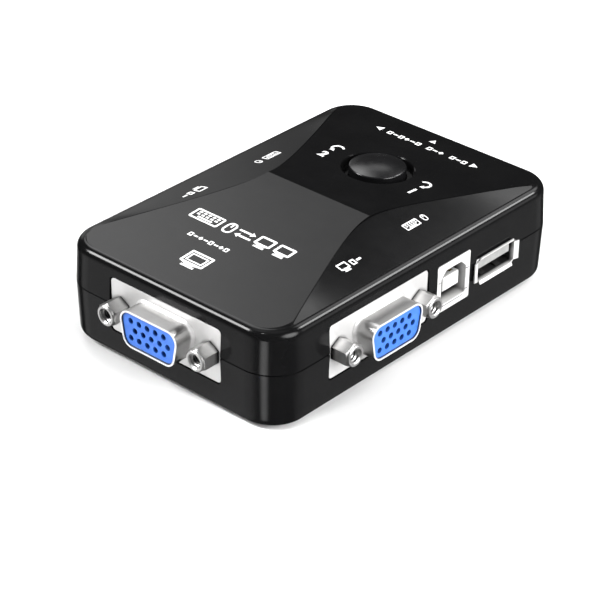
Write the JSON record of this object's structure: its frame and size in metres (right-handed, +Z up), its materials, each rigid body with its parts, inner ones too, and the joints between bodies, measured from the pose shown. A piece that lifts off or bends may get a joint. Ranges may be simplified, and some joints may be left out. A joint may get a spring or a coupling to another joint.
{
  "type": "kvm switch",
  "caption": "Small black desktop box that shares one screen, keyboard and mouse between two computers, with video and USB sockets on its sides and a push button on its roof.",
  "frame": {"origin": "on the resting plane under the feet, at the middle of the object's outline in plan", "axes": "+X across the case, +Y along the case from the console monitor socket's end to the single USB socket's end, +Z up"},
  "size_m": [0.0698, 0.097, 0.0262],
  "materials": {
    "case_plastic": "satin black moulded plastic",
    "button_plastic": "satin black moulded plastic",
    "nickel_plate": "bright nickel plate on steel",
    "blue_plastic": "smooth blue insulator",
    "white_plastic": "smooth white insulator",
    "contact_gold": "gold-flashed contacts",
    "board_laminate": "green glass-epoxy board with solder mask",
    "chip_plastic": "matt moulded epoxy",
    "can_aluminium": "drawn aluminium can",
    "screw_steel": "zinc plated steel",
    "spring_steel": "drawn spring wire",
    "foot_rubber": "matt rubber"
  },
  "bodies": {
    "case": {"top_shell": "case_plastic", "bottom_shell": "case_plastic", "case_screws": "screw_steel", "rubber_feet": "foot_rubber", "circuit_board": "board_laminate", "vga_shell_front": "nickel_plate", "vga_insert_front": "blue_plastic", "vga_base_front": "chip_plastic", "vga_contacts_front": "contact_gold", "vga_jack_posts_front": "nickel_plate", "vga_brackets_front": "nickel_plate", "vga_shell_right": "nickel_plate", "vga_insert_right": "blue_plastic", "vga_base_right": "chip_plastic", "vga_contacts_right": "contact_gold", "vga_jack_posts_right": "nickel_plate", "vga_brackets_right": "nickel_plate", "vga_shell_left": "nickel_plate", "vga_insert_left": "blue_plastic", "vga_base_left": "chip_plastic", "vga_contacts_left": "contact_gold", "vga_jack_posts_left": "nickel_plate", "vga_brackets_left": "nickel_plate", "usb_b_shell_right": "nickel_plate", "usb_b_core_right": "white_plastic", "usb_b_contacts_right": "contact_gold", "usb_b_shell_left": "nickel_plate", "usb_b_core_left": "white_plastic", "usb_b_contacts_left": "contact_gold", "usb_a_shell_rear": "nickel_plate", "usb_a_core_rear": "white_plastic", "usb_a_contacts_rear": "contact_gold", "usb_a_shell_right": "nickel_plate", "usb_a_core_right": "white_plastic", "usb_a_contacts_right": "contact_gold", "usb_a_shell_left": "nickel_plate", "usb_a_core_left": "white_plastic", "usb_a_contacts_left": "contact_gold", "switch_body": "chip_plastic", "switch_legs": "contact_gold", "return_spring": "spring_steel", "control_chip": "chip_plastic", "video_switch_chips": "chip_plastic", "crystal": "can_aluminium", "capacitors": "can_aluminium", "chip_resistors": "chip_plastic"},
    "button": {"button_cap": "button_plastic", "switch_plunger": "white_plastic"}
  },
  "joints": [
    {"name": "button_press", "type": "slide", "parent": "case", "child": "button", "axis": [0, 0, -1], "range_m": [0, 0.0015], "stiffness_N_per_m": 800, "springref_m": -0.001, "deforming": ["return_spring"]}
  ]
}
